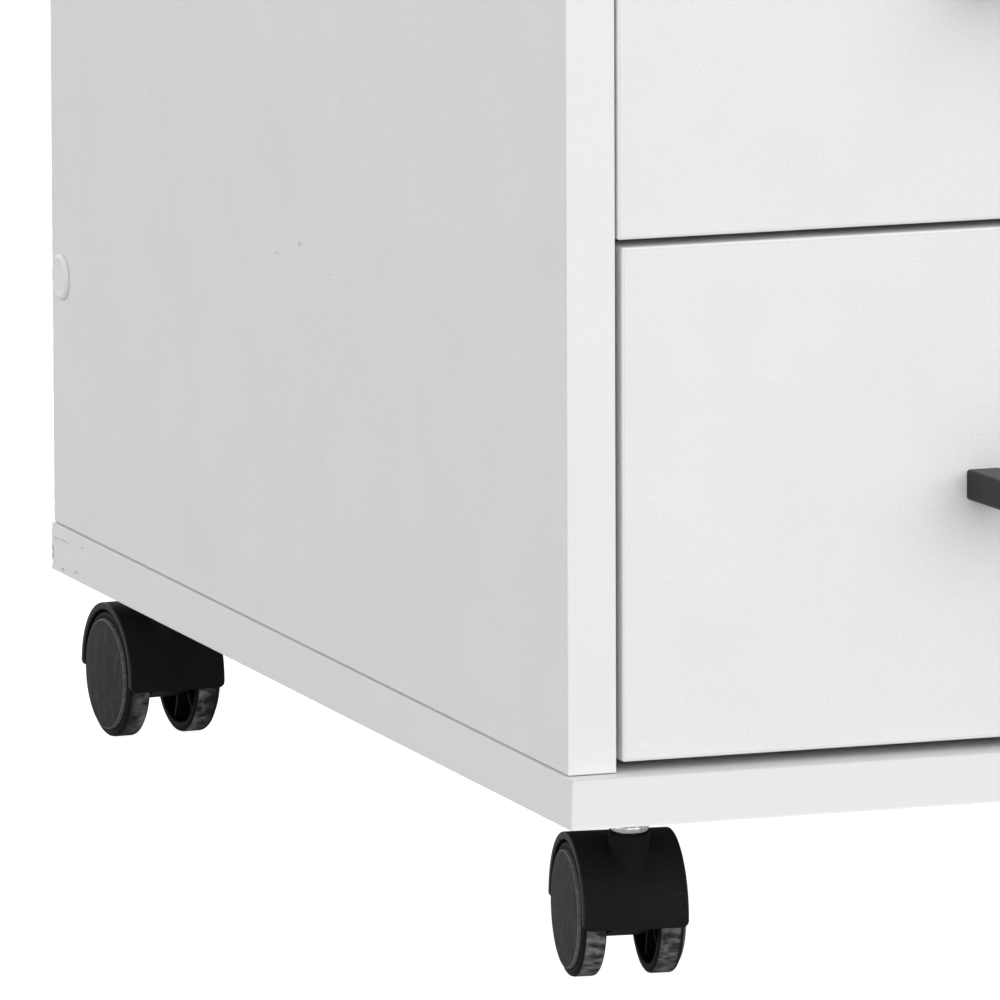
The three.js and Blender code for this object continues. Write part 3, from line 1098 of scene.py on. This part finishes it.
# Radius and height in mm, from the open inner side.
wheelShape = {
    "spacing": 15.8 * mm,
    "profile": [
        (0.0, 5.35),
        (3.35, 5.35),
        (3.35, -1.55),
        (6.3, -1.55),
        (6.5, -1.3),
        (6.5, 5.8),
        (6.9, 6.1),
        (16.8, 6.1),
        (17.25, 5.7),
        (17.25, 0.3),
        (17.5, 0.0),
        (18.7, 0.0),
        (19.3, 0.12),
        (19.8, 0.5),
        (20.0, 1.1),
        (20.0, 6.35),
        (19.85, 6.9),
        (19.5, 7.3),
        (19.0, 7.5),
        (18.5, 7.5),
        (18.1, 7.35),
        (17.8, 7.3),
        (17.7, 7.5),
        (17.65, 8.1),
        (17.45, 8.45),
        (17.1, 8.58),
        (16.0, 8.7),
        (11.0, 8.92),
        (5.0, 9.06),
        (0.0, 9.1),
    ],
    "tread": (19.85 * mm, 6.3 * mm),  # the tread lies outside this radius and below this height
    "face": (17.72 * mm, 7.4 * mm),  # the outer face inside this radius and above this height
    "disc": 17 * mm,
    "dustWidth": 7.2 * mm,
    "dust": {"front": 1.0, "rear": 0.25},
    "ribs": 6,
    "ribThickness": 1.1 * mm,
    "ribSpan": (6.2 * mm, 17.6 * mm),
    "ribHeight": (1.4 * mm, 6.3 * mm),
    "ribTurn": 0.3,  # share of the angle between two ribs
    "steps": 72,
}


# Cutters that round the four corners of the hood's front and rear lips, seen from outside.
def lipCutters(half):
    corner = hoodShape["lipCorner"]
    inside, outside = hoodShape["lipCut"]
    quarter = Matrix.Rotation(math.pi / 2, 4, "X")
    cutters = []
    for end, outwards in (("frontEnd", 1), ("rearEnd", -1)):
        turn = Matrix.Rotation(math.radians(hoodShape[end]), 4, "X")
        for sign in (-1, 1):
            square = block((-corner, inside, -corner), (corner, outside, corner))
            place = Matrix.Translation((-sign * corner, 0, -outwards * corner))
            pillar = cylinder(corner, hoodShape["lipPillar"], stepsOf["lip"], place @ quarter)
            cutter = combined(square, pillar, "DIFFERENCE")
            moved(cutter, turn @ Matrix.Translation((sign * half, hoodShape["inside"], 0)))
            cutters.append(cutter)
    return cutters


# The web between the wheels: the shell's middle line cut off at the lips, and a boss round the axle.
def webMesh():
    shape = hoodShape
    middle = (shape["inside"] + shape["outside"]) / 2
    front, rear = (
        Vector((0, middle * math.cos(angle), middle * math.sin(angle)))
        for angle in map(math.radians, (shape["frontEnd"], shape["rearEnd"]))
    )
    across = Matrix.Rotation(math.pi / 2, 4, "Y")
    web = cylinder(middle, shape["webWidth"], stepsOf["web"], across, capped=False)
    along = rear - front
    down = Vector((0, along.z, -along.y)).normalized()
    everything = web.verts[:] + web.edges[:] + web.faces[:]
    bmesh.ops.bisect_plane(web, geom=everything, plane_co=front, plane_no=down, clear_outer=True)
    boss = cylinder(shape["webBoss"], shape["webWidth"], stepsOf["web"], across, capped=False)
    hull = bmesh.new()
    for outline in (web, boss):
        for vert in outline.verts:
            hull.verts.new(vert.co)
        outline.free()
    bmesh.ops.convex_hull(hull, input=hull.verts)
    bmesh.ops.dissolve_limit(hull, angle_limit=math.radians(1), verts=hull.verts, edges=hull.edges)
    return hull


def hoodMaster():
    shape = hoodShape
    half = shape["width"] / 2
    inside, outside = shape["inside"], shape["outside"]
    bm = bmesh.new()
    corners = [(-half, inside), (half, inside), (half, outside), (-half, outside)]
    face = bm.faces.new([bm.verts.new((x, y, 0)) for x, y in corners])
    bevelled(bm, face.verts[:], shape["edge"], 3, "VERTICES")
    start = Matrix.Rotation(math.radians(shape["rearEnd"]), 3, "X")
    bmesh.ops.rotate(bm, matrix=start, verts=bm.verts)
    bmesh.ops.spin(
        bm,
        geom=bm.faces[:],
        cent=(0, 0, 0),
        axis=(1, 0, 0),
        angle=math.radians(shape["frontEnd"] - shape["rearEnd"]),
        steps=shape["steps"],
    )
    bmesh.ops.recalc_face_normals(bm, faces=bm.faces)
    for cutter in lipCutters(half):
        bm = combined(bm, cutter, "DIFFERENCE")
    bm = combined(bm, webMesh(), "UNION")

    top, foot = shape["bossTop"], shape["bossLow"]
    place = Matrix.Translation((0, -shape["trail"], (top + foot) / 2))
    boss = cylinder(shape["bossRadius"], top - foot, stepsOf["boss"], place, shape["bossFoot"])

    def isTop(edge):
        return min(vert.co.z for vert in edge.verts) > top - mm

    roundEdges(boss, shape["bossRounding"], sharperThan=60, keep=isTop)
    bm = combined(bm, boss, "UNION")
    low, high = shape["boreSpan"]
    place = Matrix.Translation((0, -shape["trail"], top + (low + high) / 2))
    bore = cylinder(shape["bore"], high - low, stepsOf["bore"], place)
    bm = combined(bm, bore, "DIFFERENCE")
    bm.normal_update()
    for face in bm.faces:
        across, *rest = face.calc_center_median()
        # the band round the hood's cut edges takes the painted highlight
        wall = abs(across) > half - shape["highlightBand"] and math.hypot(*rest) > inside - mm
        face.material_index = 1 if wall else 0
    return looseMesh(bm)


def wheelMaster():
    shape = wheelShape
    bm = turnedMm(shape["profile"], shape["steps"])
    half = shape["ribThickness"] / 2
    inner, outer = shape["ribSpan"]
    low, high = shape["ribHeight"]
    for index in range(shape["ribs"]):
        angle = 2 * math.pi * (index + shape["ribTurn"]) / shape["ribs"]
        rib = moved(block((inner, -half, low), (outer, half, high)), Matrix.Rotation(angle, 4, "Z"))
        bm = combined(bm, rib, "UNION")
    bm.normal_update()
    contact = bm.verts.layers.float.new("contact")  # how much a point of the tread meets the floor
    for vert in bm.verts:
        vert[contact] = 1 - vert.co.z / shape["dustWidth"]
    treadRadius, treadTop = shape["tread"]
    faceRadius, faceLow = shape["face"]
    for face in bm.faces:
        middle = face.calc_center_median()
        radius = math.hypot(middle.x, middle.y)
        if radius > treadRadius and middle.z < treadTop:
            face.material_index = 2
        elif radius < faceRadius and middle.z > faceLow:
            # faces between the disc and the outer face's edge take the painted rim highlight
            face.material_index = 1 if radius < shape["disc"] else 3
        else:
            face.material_index = 0
    return looseMesh(bm)


stemProfile = [
    (0, -30),
    (3.4, -30),
    (4, -29.4),
    (4, -8),
    (5.45, -8),
    (5.78, -7.6),
    (5.9, -7),
    (5.86, -6.3),
    (5.7, -5.6),
    (5.4, -4.9),
    (5.0, -4.5),
    (5.0, -1.2),
    (5.9, -1),
    (5.9, 0),
    (4, 0),
    (4, 5),
    (4.2, 5.6),
    (4.2, 8.4),
    (4, 9),
    (4, 11),
    (3.2, 12),
    (0, 12),
]
axleProfile = [(0, -12.9), (2.6, -12.9), (3, -12.5), (3, 12.5), (2.6, 12.9), (0, 12.9)]


# One wheel, pale where its tread has met the floor.
def addWheel(wheel, name, side, sign, place):
    node = f"{name}_caster_{side}_wheel"
    start = Matrix.Translation((sign * wheelShape["spacing"] / 2, 0, 0))
    bm = copyOf(wheel, place @ start @ Matrix.Rotation(sign * math.pi / 2, 4, "Y"))
    contact = bm.verts.layers.float["contact"]
    for vert in bm.verts:
        vert[contact] *= wheelShape["dust"][name.split("_")[0]]
    look = ["wheelNylon", "wheelDisc", "wheelTread", "discRimHighlight"]
    addPiece(bm, f"{name}_{side}_wheel", node, look, [node])


def addCasters():
    hood = hoodMaster()
    wheel = wheelMaster()
    stem = looseMesh(turnedMm(stemProfile, stepsOf["stem"]))
    axle = looseMesh(turnedMm(axleProfile, stepsOf["axle"]))
    joints = {joint["name"]: joint for joint in frame["joints"]}
    for name in casterNames:
        body = name + "_caster"
        spin = joints[body + "_left_wheel_spin"]
        yaw = math.atan2(spin["axis"][1], spin["axis"][0])
        place = Matrix.Translation(spin["pos_m"]) @ Matrix.Rotation(yaw, 4, "Z")
        look = ["casterNylon", "hoodRimHighlight"]
        addPiece(copyOf(hood, place), name + "_hood", body, look, [body + "_hood"])
        along = place @ Matrix.Rotation(math.pi / 2, 4, "Y")
        addPiece(copyOf(axle, along), name + "_axle", body, ["zinc"], [body + "_axle"])
        low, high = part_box(body + "_stem")
        foot = (low + high) / 2
        foot.z = low.z - stemProfile[0][1] * mm
        up = Matrix.Translation(foot)
        addPiece(copyOf(stem, up), name + "_stem", "cabinet", ["zinc"], [body + "_stem"])
        for side, sign in sides.items():
            addWheel(wheel, name, side, sign, place)
    print("casters made")


addCasters()

for mesh in [m for m in bpy.data.meshes if m.users == 0]:
    bpy.data.meshes.remove(mesh)
